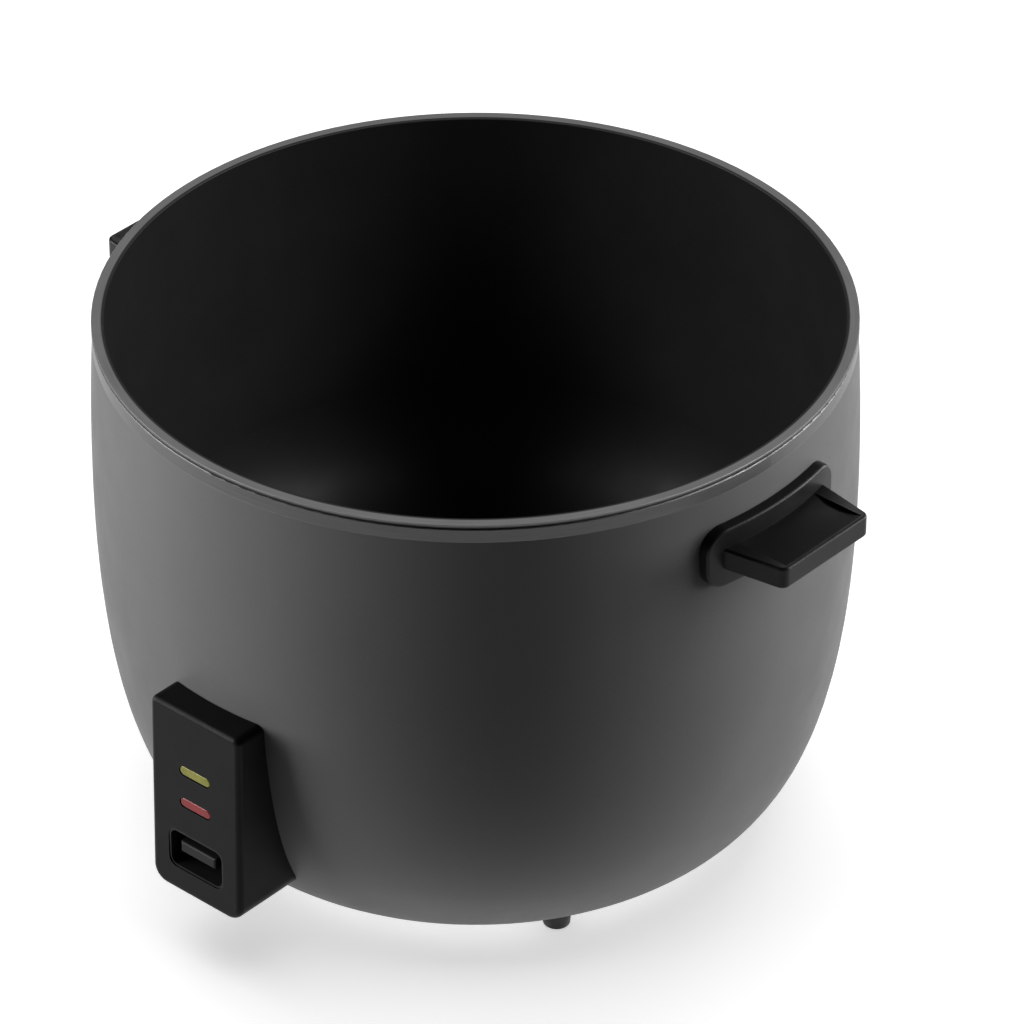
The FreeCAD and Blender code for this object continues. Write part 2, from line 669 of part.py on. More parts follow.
def make_sensor_retainer():
    """Pressed ring that holds the ferrite up in the cap and seats the spring."""
    wall_r = SENSOR_R - SENSOR_WALL
    return union([tube(wall_r, FERRITE_R, FERRITE_LOW_Z, FERRITE_TOP_Z),
                  tube(wall_r, FERRITE_R - 2.0, FERRITE_LOW_Z - SHEET, FERRITE_LOW_Z)])


def make_sensor_spring():
    return coil(SENSOR_COIL_R, SENSOR_WIRE_R, GUIDE_LOW_Z + SHEET + SEAT_GAP, FERRITE_LOW_Z - SHEET - SEAT_GAP)


def make_magnet():
    return cylinder(MAGNET_R, MAGNET_LOW_Z, MAGNET_TOP_Z)


def make_magnet_cup():
    cup = cylinder(MAGNET_R + CUP_WALL, CUP_LOW_Z, MAGNET_TOP_Z - 0.6)
    return cup.cut(cylinder(MAGNET_R, MAGNET_LOW_Z, MAGNET_TOP_Z + 1))


def make_pull_rod():
    """Fork that hangs from the magnet cup and straddles the lever's end."""
    fork_top = LEVER_PIVOT_Z + 7.0
    half = FORK_HALF_X
    cheek = block(half - FORK_WALL, half, -3.5, 3.5, LEVER_PIVOT_Z - 5.0, fork_top)
    other = cheek.mirror(Vector(0, 0, 0), Vector(1, 0, 0))
    bridge = block(-half, half, -3.5, 3.5, fork_top, fork_top + 1.6)
    stem = cylinder(2.5, fork_top + 1.6, CUP_LOW_Z)
    rod = union([cheek, other, bridge, stem])
    return rod.cut(rod_x(CLEVIS_PIN_R, -10, 10, 0, LEVER_PIVOT_Z))


def make_clevis_pin():
    half = FORK_HALF_X
    pin = rod_x(CLEVIS_PIN_R, -half - 1.0, half, 0, LEVER_PIVOT_Z)
    head = rod_x(CLEVIS_PIN_R + 0.9, -half - 1.0, -half, 0, LEVER_PIVOT_Z)
    return union([pin, head])


# ================= cook lever =================
def make_lever_arm():
    blade = bar_along(LEVER_ROUTE, BLADE_HALF_W, -BLADE_HALF_X, BLADE_HALF_X)
    boss = rod_x(6.0, -BLADE_HALF_X, BLADE_HALF_X, LEVER_PIVOT_Y, LEVER_PIVOT_Z)
    eye = block(-BLADE_HALF_X, BLADE_HALF_X, -3.6, 5.5, LEVER_PIVOT_Z - 6.0, LEVER_PIVOT_Z + BLADE_HALF_W)
    seat_z = BLADE_LOW_Z - SHEET
    seat = cylinder(5.4, seat_z, BLADE_LOW_Z + 0.6, 0, SPRING_Y)
    spigot = cylinder(2.6, seat_z - 2.0, seat_z, 0, SPRING_Y)
    lever = union([blade, boss, eye, seat, spigot])
    slack = CLEVIS_PIN_R + 0.4
    low = LEVER_PIVOT_Z - SENSOR_PRESS
    slot = union([rod_x(slack, -5, 5, 0, LEVER_PIVOT_Z), rod_x(slack, -5, 5, 0, low),
                  block(-5, 5, -slack, slack, low, LEVER_PIVOT_Z)])
    hole = rod_x(PIVOT_R + RUNNING_GAP, -5, 5, LEVER_PIVOT_Y, LEVER_PIVOT_Z)
    return lever.cut([slot, hole])


def make_lever_knob(blade):
    knob = block(-KNOB_HALF_X, KNOB_HALF_X, KNOB_FACE_Y, KNOB_FACE_Y + 10.5, KNOB_LOW_Z, KNOB_TOP_Z)
    along_x = edges_along(knob, Vector(1, 0, 0), lambda p: p.y < KNOB_FACE_Y + 1)
    along_z = edges_along(knob, UP, lambda p: p.y < KNOB_FACE_Y + 1)
    knob = knob.makeFillet(1.4, along_x + along_z)
    return knob.cut(blade)


def make_lever_bracket():
    """U bracket on the base plate that carries the pivot pin."""
    cheek = block(BLADE_HALF_X + 0.4, FORK_HALF_X, LEVER_PIVOT_Y - 6, LEVER_PIVOT_Y + 6, BASE_TOP_Z,
                  LEVER_PIVOT_Z + 5)
    other = cheek.mirror(Vector(0, 0, 0), Vector(1, 0, 0))
    sole = block(-14, 14, LEVER_PIVOT_Y - 6, LEVER_PIVOT_Y + 6, BASE_TOP_Z, BASE_TOP_Z + 1.5)
    cuts = [rod_x(PIVOT_R, -10, 10, LEVER_PIVOT_Y, LEVER_PIVOT_Z)]
    for x, y in BRACKET_SCREW_PLACES:
        cuts.append(cylinder(SMALL_SCREW_R, 10, 20, x, y))
    return union([cheek, other, sole]).cut(cuts)


def make_bracket_screws():
    return group([screw((x, y, BASE_TOP_Z + 1.5), (0, 0, -1), 2.4, 1.7, SMALL_SCREW_R, 5.0)
                  for x, y in BRACKET_SCREW_PLACES])


def make_pivot_pin():
    half = FORK_HALF_X
    return union([rod_x(PIVOT_R, -half - 1.5, half + 1.5, LEVER_PIVOT_Y, LEVER_PIVOT_Z),
                  rod_x(PIVOT_R + 1.2, -half - 1.5, -half, LEVER_PIVOT_Y, LEVER_PIVOT_Z)])


def make_lever_spring():
    spring = coil(LEVER_COIL_R, LEVER_WIRE_R, BASE_TOP_Z + SEAT_GAP, BLADE_LOW_Z - SHEET - SEAT_GAP)
    spring.translate(Vector(0, SPRING_Y, 0))
    return spring


# ================= micro switch =================
def make_micro_switch():
    body = block(-SWITCH_HALF_X, SWITCH_HALF_X, SWITCH_Y - SWITCH_HALF_Y, SWITCH_Y + SWITCH_HALF_Y,
                 BASE_TOP_Z, SWITCH_TOP_Z)
    cuts = [cylinder(PLUNGER_R + 0.3, BASE_TOP_Z + 5, SWITCH_TOP_Z + 1, 0, SWITCH_Y)]
    for x, y in SWITCH_SCREW_PLACES:
        cuts.append(cylinder(SMALL_SCREW_R, 10, 40, x, y))
        cuts.append(cylinder(2.6, SWITCH_TOP_Z - SWITCH_SCREW_SINK, 40, x, y))
    body = body.cut(cuts)
    tabs = [block(SWITCH_HALF_X, SWITCH_HALF_X + 7, SWITCH_Y + y - 1.6, SWITCH_Y + y + 1.6,
                  BASE_TOP_Z + 4, BASE_TOP_Z + 4.8) for y in (-7, 0, 7)]
    return group([body] + tabs)


def make_switch_plunger():
    return cylinder(PLUNGER_R, BASE_TOP_Z + 8, BLADE_LOW_Z - 0.35, 0, SWITCH_Y)


def make_switch_screws():
    seat_z = SWITCH_TOP_Z - SWITCH_SCREW_SINK
    return group([screw((x, y, seat_z), (0, 0, -1), 2.3, 1.7, SMALL_SCREW_R, seat_z - BASE_LOW_Z + 2)
                  for x, y in SWITCH_SCREW_PLACES])


# ================= control box =================
def box_face_y(z):
    """The front face leans out slightly towards its foot."""
    share = (z - BOX_LOW_Z) / (BOX_TOP_Z - BOX_LOW_Z)
    return BOX_FACE_LOW_Y + (BOX_FACE_TOP_Y - BOX_FACE_LOW_Y) * share


def control_block(margin):
    """The box as a solid, moved inwards by a margin, and reaching back into the drum."""
    low = BOX_LOW_Z + margin
    top = BOX_TOP_Z - margin
    half = BOX_HALF_X - margin
    outline = [(BOX_BACK_Y, low), (box_face_y(low) + margin, low), (box_face_y(top) + margin, top),
               (BOX_BACK_Y, top)]
    side = plate_yz(outline, -half, half)
    lower = edges_along(side, Vector(0, 1, 0), lambda p: p.z < low + 1)
    side = side.makeFillet(BOX_LOW_CORNER_R - margin, lower)
    upper = edges_along(side, Vector(0, 1, 0), lambda p: p.z > top - 1)
    return side.makeFillet(BOX_TOP_CORNER_R - margin, upper)


def front_outline_edges(shape):
    return [edge for edge in shape.Edges if edge.BoundBox.YMax < BOX_FACE_TOP_Y + 0.4]


def make_control_housing():
    outside = control_block(0)
    outside = outside.makeFillet(BOX_EDGE_R, front_outline_edges(outside))
    shell = outside.cut(control_block(BOX_WALL))
    bosses = []
    for x, z in CONTROL_SCREW_PLACES:
        bosses.append(rod_y(BOSS_R, box_face_y(z) + 1.0, BOX_BACK_Y, x, z))
    shell = union([shell] + bosses).cut(DRUM_CUTTER)
    cuts = [pill_y(LENS_LENGTH + LENS_SLACK, LENS_HEIGHT + LENS_SLACK, -240, -215, z)
            for z in (WARM_LENS_Z, COOK_LENS_Z)]
    cuts.append(round_block(-WELL_HALF_X, WELL_HALF_X, -240, -215, WELL_LOW_Z, WELL_TOP_Z,
                            WELL_CORNER_R, Vector(0, 1, 0)))
    for x, z in CONTROL_SCREW_PLACES:
        cuts.append(rod_y(SMALL_SCREW_R, box_face_y(z) + 6.0, BOX_BACK_Y, x, z))
    return shell.cut(cuts)


def make_lens(z):
    face_y = box_face_y(z) + 0.25
    plug = pill_y(LENS_LENGTH, LENS_HEIGHT, face_y, face_y + 3.2, z)
    front = [edge for edge in plug.Edges if edge.BoundBox.YMax < face_y + 0.01]
    plug = plug.makeFillet(0.9, front)
    flange = pill_y(LENS_LENGTH + 4, LENS_HEIGHT + 4, face_y + 2.7, face_y + 4.2, z)
    return union([plug, flange])


def make_switch_well():
    """Liner of the finger recess: a tray open to the front, with a slot for the lever in its back."""
    gap = 0.1
    half = WELL_HALF_X - gap
    low = WELL_LOW_Z + gap
    top = WELL_TOP_Z - gap
    front = box_face_y(70) + 0.6
    along = Vector(0, 1, 0)
    tray = round_block(-half, half, front, WELL_BACK_Y, low, top, WELL_CORNER_R - gap, along)
    rim = 2.5
    lip = round_block(-half - rim, half + rim, -223.6, -222.2, low - rim, top + rim, WELL_CORNER_R, along)
    hollow = round_block(-half + WELL_WALL, half - WELL_WALL, -240, WELL_BACK_Y - WELL_WALL, low + WELL_WALL,
                         top - WELL_WALL, WELL_CORNER_R - gap - WELL_WALL, along)
    slot_half = BLADE_HALF_X + 0.6
    slot = block(-slot_half, slot_half, WELL_BACK_Y - 5, WELL_BACK_Y + 5, 59.2, 77.2)
    return union([tray, lip]).cut([hollow, slot])


def make_lamp(z):
    """Neon lamp lying behind its lens."""
    y = box_face_y(z) + LAMP_BEHIND_FACE
    body = rod_x(LAMP_R, -7, 6, y, z)
    nose = Part.makeSphere(LAMP_R, Vector(-7, y, z))
    return union([body, nose])


def make_lamp_holder():
    """White plastic cradle behind both lamps."""
    back_y = box_face_y(115) + 11.0
    plate = block(-14, 14, back_y, back_y + 1.8, 96, 134)
    cradles = []
    lamps = []
    for z in (WARM_LENS_Z, COOK_LENS_Z):
        y = box_face_y(z) + LAMP_BEHIND_FACE
        cradles.append(block(2.0, 5.0, y - 1.0, back_y, z - 4.2, z + 4.2))
        lamps.append(rod_x(LAMP_R, -7, 6, y, z))
    return union([plate] + cradles).cut(lamps)


def inside_face(x, z):
    """How far out a screw head can stand inside the curved drum, at a distance x from its middle plane."""
    head_r = 3.4
    inner_r = drum_radius(z - head_r) - SHELL_WALL
    return math.sqrt(inner_r ** 2 - (abs(x) + head_r) ** 2) - 0.35


def make_control_screws():
    screws = []
    for x, z in CONTROL_SCREW_PLACES:
        seat_y = -inside_face(x, z)
        screws.append(screw((x, seat_y, z), (0, -1, 0), 3.2, 1.9, SMALL_SCREW_R, 9.0))
    return group(screws)


# ================= power inlet =================
def make_inlet_housing():
    def body(margin):
        solid = block(-INLET_HALF_X + margin, INLET_HALF_X - margin, 150, INLET_FACE_Y - margin,
                      INLET_LOW_Z + margin, INLET_TOP_Z - margin)
        return solid.makeFillet(7.0 - margin, edges_along(solid, Vector(0, 1, 0)))
    outside = body(0)
    rim = [edge for edge in outside.Edges if edge.BoundBox.YMin > INLET_FACE_Y - 0.01]
    outside = outside.makeFillet(2.5, rim)
    shell = outside.cut(body(BOX_WALL))
    bosses = [rod_y(BOSS_R, 150, INLET_FACE_Y - 1.0, x, z) for x, z in INLET_SCREW_PLACES]
    shell = union([shell] + bosses).cut(DRUM_CUTTER)
    gap = 0.1
    half_x = SOCKET_HALF_X + gap
    half_z = SOCKET_HALF_Z + gap
    cuts = [block(-half_x, half_x, 210, 240, SOCKET_Z - half_z, SOCKET_Z + half_z)]
    for x, z in INLET_SCREW_PLACES:
        cuts.append(rod_y(SMALL_SCREW_R, 150, INLET_FACE_Y - 6.0, x, z))
    return shell.cut(cuts)


def make_inlet_socket():
    """Plug cavity with three pins; its flange is trapped behind the housing's face."""
    low = SOCKET_Z - SOCKET_HALF_Z
    top = SOCKET_Z + SOCKET_HALF_Z
    rim = 2.5
    outside = block(-SOCKET_HALF_X, SOCKET_HALF_X, SOCKET_BACK_Y, SOCKET_FACE_Y, low, top)
    lip = block(-SOCKET_HALF_X - rim, SOCKET_HALF_X + rim, INLET_FACE_Y - 4.4, INLET_FACE_Y - 2.6,
                low - rim, top + rim)
    cavity = block(-SOCKET_HALF_X + 3.0, SOCKET_HALF_X - 3.0, INLET_FACE_Y - 20.0, 240,
                   low + rim, top - rim)
    upper_edges = edges_along(cavity, Vector(0, 1, 0), lambda p: p.z > SOCKET_Z)
    cavity = cavity.makeChamfer(4.0, upper_edges)
    pins = [pin_blade(x, z) for x, z in PIN_PLACES]
    return union([outside, lip]).cut([cavity] + pins)


def pin_blade(x, z):
    """A flat pin, from its tail behind the socket to its tip inside the cavity."""
    middle_z = SOCKET_Z + z
    return block(x - 1.0, x + 1.0, SOCKET_BACK_Y - 3.0, INLET_FACE_Y - 3.0, middle_z - 3.0, middle_z + 3.0)


def make_inlet_pins():
    pins = []
    for x, z in PIN_PLACES:
        pin = pin_blade(x, z)
        tip = [edge for edge in pin.Edges if edge.BoundBox.YMin > INLET_FACE_Y - 3.01]
        pins.append(pin.makeChamfer(0.6, tip))
    return group(pins)


def make_inlet_screws():
    screws = []
    for x, z in INLET_SCREW_PLACES:
        seat_y = inside_face(x, z)
        screws.append(screw((x, seat_y, z), (0, 1, 0), 3.2, 1.9, SMALL_SCREW_R, 9.0))
    return group(screws)


# ================= handles =================
def make_handle():
    """Right-hand handle: a pad that follows the drum and a dished paddle that stands out of it."""
    face_r = drum_radius(HANDLE_SCREW_Z) + PAD_THICK
    pad = tube(face_r, 195, PAD_LOW_Z, PAD_TOP_Z)
    window = round_block(150, 230, -PAD_HALF_Y, PAD_HALF_Y, PAD_LOW_Z, PAD_TOP_Z, 13.0, Vector(1, 0, 0))
    pad = pad.common(window)
    front = [edge for edge in pad.Edges if edge.BoundBox.XMin > 200
             and all(abs(math.hypot(v.Point.x, v.Point.y) - face_r) < 0.01 for v in edge.Vertexes)]
    pad = pad.makeFillet(1.8, front)
    low = HANDLE_TOP_Z - HANDLE_THICK
    root_x = 205.0
    slope = (HANDLE_ROOT_HALF_Y - HANDLE_TIP_HALF_Y) / (HANDLE_REACH - drum_radius(HANDLE_TOP_Z))
    root_half = HANDLE_TIP_HALF_Y + slope * (HANDLE_REACH - root_x)
    corners = [Vector(root_x, -root_half, low), Vector(HANDLE_REACH, -HANDLE_TIP_HALF_Y, low),
               Vector(HANDLE_REACH, HANDLE_TIP_HALF_Y, low), Vector(root_x, root_half, low)]
    outline = Part.Face(Part.makePolygon(corners + [corners[0]]))
    paddle = outline.extrude(Vector(0, 0, HANDLE_THICK))
    tips = edges_along(paddle, UP, lambda p: p.x > HANDLE_REACH - 1)
    paddle = paddle.makeFillet(5.0, tips)
    rim = [edge for edge in paddle.Edges if edge.BoundBox.XMax > root_x + 1
           and edge.BoundBox.ZMax - edge.BoundBox.ZMin < 0.1]
    paddle = paddle.makeFillet(1.6, rim)
    dish = dish_cutter(HANDLE_TOP_Z)
    grip = under_grip_cutter(low)
    paddle = paddle.cut([dish, grip])
    handle = union([paddle, pad]).cut(DRUM_CUTTER)
    holes = [rod_x(2.1, 190, 226, y, HANDLE_SCREW_Z) for y in HANDLE_SCREW_YS]
    return handle.cut(holes)


def dish_cutter(top):
    """A shallow hollow along the paddle's top, shallow at the drum and deepest before the outer lip."""
    radius = 60.0
    return rod_y(radius, -31.0, 31.0, 228.0, top + radius - DISH_DEPTH)


def under_grip_cutter(low):
    """Finger hollow along the underside of the paddle."""
    radius = 26.0
    return rod_y(radius, -28.0, 28.0, 231.0, low - radius + DISH_DEPTH)


def make_handle_backing(side):
    """Steel strip inside the drum that spreads the handle's load."""
    inner = drum_radius(HANDLE_SCREW_Z) - SHELL_WALL
    strip = tube(inner - 0.6, inner - 1.6, HANDLE_SCREW_Z - 9, HANDLE_SCREW_Z + 9)
    window = block(150, 230, -44, 44, 240, 300)
    strip = strip.common(window)
    strip = strip.cut([rod_x(2.1, 190, 226, y, HANDLE_SCREW_Z) for y in HANDLE_SCREW_YS])
    return facing(strip, side)


def make_handle_screws():
    inner = drum_radius(HANDLE_SCREW_Z) - SHELL_WALL - 1.6
    screws = []
    for side in (-1, 1):
        for y in HANDLE_SCREW_YS:
            seat_x = math.sqrt(inner ** 2 - (abs(y) + 3.6) ** 2) - 0.1
            one = screw((seat_x, y, HANDLE_SCREW_Z), (1, 0, 0), 3.6, 2.0, POST_SCREW_R, 17.0)
            screws.append(facing(one, side))
    return group(screws)


def facing(shape, side):
    """The same shape on the right, or turned half round to the left."""
    copy = shape.copy()
    if side < 0:
        copy.rotate(Vector(0, 0, 0), UP, 180)
    return copy


# ================= electrics inside =================
def jacket_outer_radius(z):
    share = (z - JACKET_FLOOR_Z) / (NECK_TOP_Z + JACKET_WALL - JACKET_FLOOR_Z)
    return JACKET_LOW_R + (JACKET_TOP_R - JACKET_LOW_R) * share + JACKET_WALL


def make_side_heater():
    """Keep-warm band round the jacket."""
    low_r = jacket_outer_radius(HEATER_LOW_Z) + HEATER_GAP
    high_r = jacket_outer_radius(HEATER_HIGH_Z) + HEATER_GAP
    return turned([(low_r, HEATER_LOW_Z), (low_r + HEATER_THICK, HEATER_LOW_Z),
                   (high_r + HEATER_THICK, HEATER_HIGH_Z), (high_r, HEATER_HIGH_Z)])


def make_keep_warm_thermostat():
    x, y = WARM_STAT_PLACE
    step_z = PLATE_LOW_Z - 4
    low = PLATE_LOW_Z - 10
    pieces = [cylinder(8.5, step_z, PLATE_LOW_Z, x, y), cylinder(7.6, low, step_z, x, y)]
    for tab_x in (x - 4, x + 4):
        pieces.append(block(tab_x - 3.15, tab_x + 3.15, y - 0.4, y + 0.4, low - 3, low))
    return union(pieces)


def make_thermal_fuse():
    body = rod_y(FUSE_R, -8, 8, FUSE_X, FUSE_Z)
    return union([body, rod_y(0.5, -16, 16, FUSE_X, FUSE_Z)])


def make_fuse_clip():
    clip = block(FUSE_X - 4.2, FUSE_X + 4.2, -4, 4, FUSE_Z - 3.6, PLATE_LOW_Z)
    ear = block(FUSE_X + 4.2, FUSE_X + 12, -4, 4, PLATE_LOW_Z - 1.2, PLATE_LOW_Z)
    return union([clip, ear]).cut(rod_y(FUSE_R, -10, 10, FUSE_X, FUSE_Z))


def terminal_xs():
    """The three ways of the terminal block."""
    return [TERMINAL_X + step * TERMINAL_PITCH for step in (-1, 0, 1)]


def make_terminal_block():
    sole_z = BASE_TOP_Z + TERMINAL_SOLE
    pieces = [block(TERMINAL_X - 22, TERMINAL_X + 22, TERMINAL_Y - 9, TERMINAL_Y + 9, BASE_TOP_Z, sole_z)]
    cuts = []
    for x in terminal_xs():
        pieces.append(block(x - 4.6, x + 4.6, TERMINAL_Y - 8, TERMINAL_Y + 8, sole_z, TERMINAL_TOP_Z))
        cuts.append(rod_y(1.6, TERMINAL_Y - 10, TERMINAL_Y + 10, x, BASE_TOP_Z + 9))
        cuts.append(cylinder(2.3, BASE_TOP_Z + 10.5, TERMINAL_TOP_Z + 1, x, TERMINAL_Y))
    for x, y in TERMINAL_SCREW_PLACES:
        cuts.append(cylinder(SMALL_SCREW_R, 10, 30, x, y))
    return union(pieces).cut(cuts)


def make_terminal_screws():
    fixing = [screw((x, y, BASE_TOP_Z + TERMINAL_SOLE), (0, 0, -1), 2.4, 1.7, SMALL_SCREW_R, 9.0)
              for x, y in TERMINAL_SCREW_PLACES]
    clamps = [screw((x, TERMINAL_Y, BASE_TOP_Z + 12.6), (0, 0, -1), 2.1, 1.6, 1.2, 2.0)
              for x in terminal_xs()]
    return group(fixing + clamps)


def make_supply_leads():
    """Live, neutral and earth from the inlet's pins to the terminal block."""
    leads = []
    live_x, earth_x, neutral_x = terminal_xs()
    for (x, z), target_x in zip(PIN_PLACES, (live_x, neutral_x, earth_x)):
        start_y = SOCKET_BACK_Y - 3.0
        end = (target_x, TERMINAL_Y + 7.0, BASE_TOP_Z + 9)
        route = [(x, start_y, SOCKET_Z + z), (x, start_y - 7, SOCKET_Z + z),
                 (x * 0.7, 179, 60 + z * 0.8), (x * 0.8 + 6, 160, 42 + z * 0.6),
                 (end[0] - 8, 136, 28 + z * 0.3), (end[0], 118, 23.4), end]
        leads.append(lead(route, LEAD_R))
    return group(leads)


def make_heater_leads():
    """From the terminal block and the switch to the heating element's two cold ends."""
    tails = element_tail_places()
    first_end = (tails[0][0] + 2.4, tails[0][1] + 2.5, 45.5)
    second_end = (tails[1][0] + 2.4, tails[1][1] - 2.5, 45.5)
    from_block = [(TERMINAL_X - TERMINAL_PITCH, TERMINAL_Y - 7.0, BASE_TOP_Z + 9), (TERMINAL_X - 10, 74, 23.4),
                  (14, 56, 26), (-16, 44, 31), (-46, 36, 36), (-74, 30, 41), first_end]
    from_switch = [(-7, SWITCH_Y + 4, 22), (-20, SWITCH_Y + 6, 23), (-38, -88, 27), (-56, -66, 33),
                   (-72, -46, 38), (-84, -31, 42), second_end]
    return group([lead(from_block, LEAD_R), lead(from_switch, LEAD_R)])


def make_lamp_leads():
    """Thin pair from the lamp holder through the drum's front and down to the base."""
    leads = []
    for offset in (-1.6, 1.6):
        start_y = box_face_y(115) + 12.8
        side = offset * 1.5
        route = [(offset, start_y, 116), (offset, -198.5, 116), (side + 4, -196.5, 102), (side + 9, -190.5, 86),
                 (side + 14, -182.0, 67), (side + 18, -168, 45), (side + 24, -148, 29), (side + 30, -122, 19.0)]
        leads.append(lead(route, LAMP_LEAD_R))
    return group(leads)


# ================= build =================
def main():
    save("outer_shell", make_outer_shell())
    save("rim_ring", make_rim_ring())
    save("inner_jacket", make_inner_jacket())
    save("inner_pot", make_inner_pot())
    save("base_plate", make_base_plate())
    for number, angle in enumerate(FOOT_ANGLES, 1):
        save("rubber_foot_%d" % number, make_foot(angle))
    save("foot_screws", make_foot_screws())
    save("base_screws", make_base_screws())
    save("heating_element", make_heating_element())
    save("heating_plate", make_heating_plate())
    save("plate_supports", make_plate_supports())
    save("support_screws", make_support_screws())
    save("sensor_guide", make_sensor_guide())
    save("guide_screws", make_guide_screws())
    save("sensor_cap", make_sensor_cap())
    save("sensor_ferrite", make_sensor_ferrite())
    save("sensor_retainer", make_sensor_retainer())
    save("sensor_spring", make_sensor_spring())
    save("magnet", make_magnet())
    save("magnet_cup", make_magnet_cup())
    save("pull_rod", make_pull_rod())
    save("clevis_pin", make_clevis_pin())
    lever = make_lever_arm()
    save("lever_arm", lever)
    save("lever_knob", make_lever_knob(lever))
    save("lever_bracket", make_lever_bracket())
    save("bracket_screws", make_bracket_screws())
    save("lever_pivot_pin", make_pivot_pin())
    save("lever_spring", make_lever_spring())
    save("micro_switch", make_micro_switch())
    save("switch_plunger", make_switch_plunger())
    save("switch_screws", make_switch_screws())
    save("control_housing", make_control_housing())
    save("control_screws", make_control_screws())
    save("switch_well", make_switch_well())
    save("lens_warm", make_lens(WARM_LENS_Z))
    save("lens_cook", make_lens(COOK_LENS_Z))
    save("lamp_warm", make_lamp(WARM_LENS_Z))
    save("lamp_cook", make_lamp(COOK_LENS_Z))
    save("lamp_holder", make_lamp_holder())
    save("inlet_housing", make_inlet_housing())
    save("inlet_socket", make_inlet_socket())
    save("inlet_pins", make_inlet_pins())
    save("inlet_screws", make_inlet_screws())
    handle = make_handle()
    save("handle_right", facing(handle, 1))
    save("handle_left", facing(handle, -1))
    save("handle_backing_right", make_handle_backing(1))
    save("handle_backing_left", make_handle_backing(-1))
    save("handle_screws", make_handle_screws())
    save("side_heater", make_side_heater())
    save("keep_warm_thermostat", make_keep_warm_thermostat())
    save("thermal_fuse", make_thermal_fuse())
    save("fuse_clip", make_fuse_clip())
    save("terminal_block", make_terminal_block())
    save("terminal_screws", make_terminal_screws())
    save("supply_leads", make_supply_leads())
    save("heater_leads", make_heater_leads())
    save("lamp_leads", make_lamp_leads())


main()
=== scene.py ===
"""Looks of a commercial rice cooker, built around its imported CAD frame."""
import math

import bpy
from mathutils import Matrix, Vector


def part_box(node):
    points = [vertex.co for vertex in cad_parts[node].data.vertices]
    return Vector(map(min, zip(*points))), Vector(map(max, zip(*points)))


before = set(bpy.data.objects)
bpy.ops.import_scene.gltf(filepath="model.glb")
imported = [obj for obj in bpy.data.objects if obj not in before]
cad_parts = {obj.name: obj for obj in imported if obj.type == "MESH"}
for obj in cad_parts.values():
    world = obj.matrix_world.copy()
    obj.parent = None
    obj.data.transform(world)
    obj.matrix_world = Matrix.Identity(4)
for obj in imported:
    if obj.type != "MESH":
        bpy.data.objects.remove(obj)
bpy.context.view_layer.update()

MM = 0.001

# ---------------------------------------------------------------- sizes read from the frame
pot_low, pot_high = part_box("inner_pot")

# The bare-metal face of the pot's flange: where it starts, and half the width of each soft start.
BARE_RADIUS = pot_high.x - 5.2 * MM
BARE_RADIUS_SOFT = 0.4 * MM
BARE_HEIGHT = pot_high.z - 1.2 * MM
BARE_HEIGHT_SOFT = 0.6 * MM


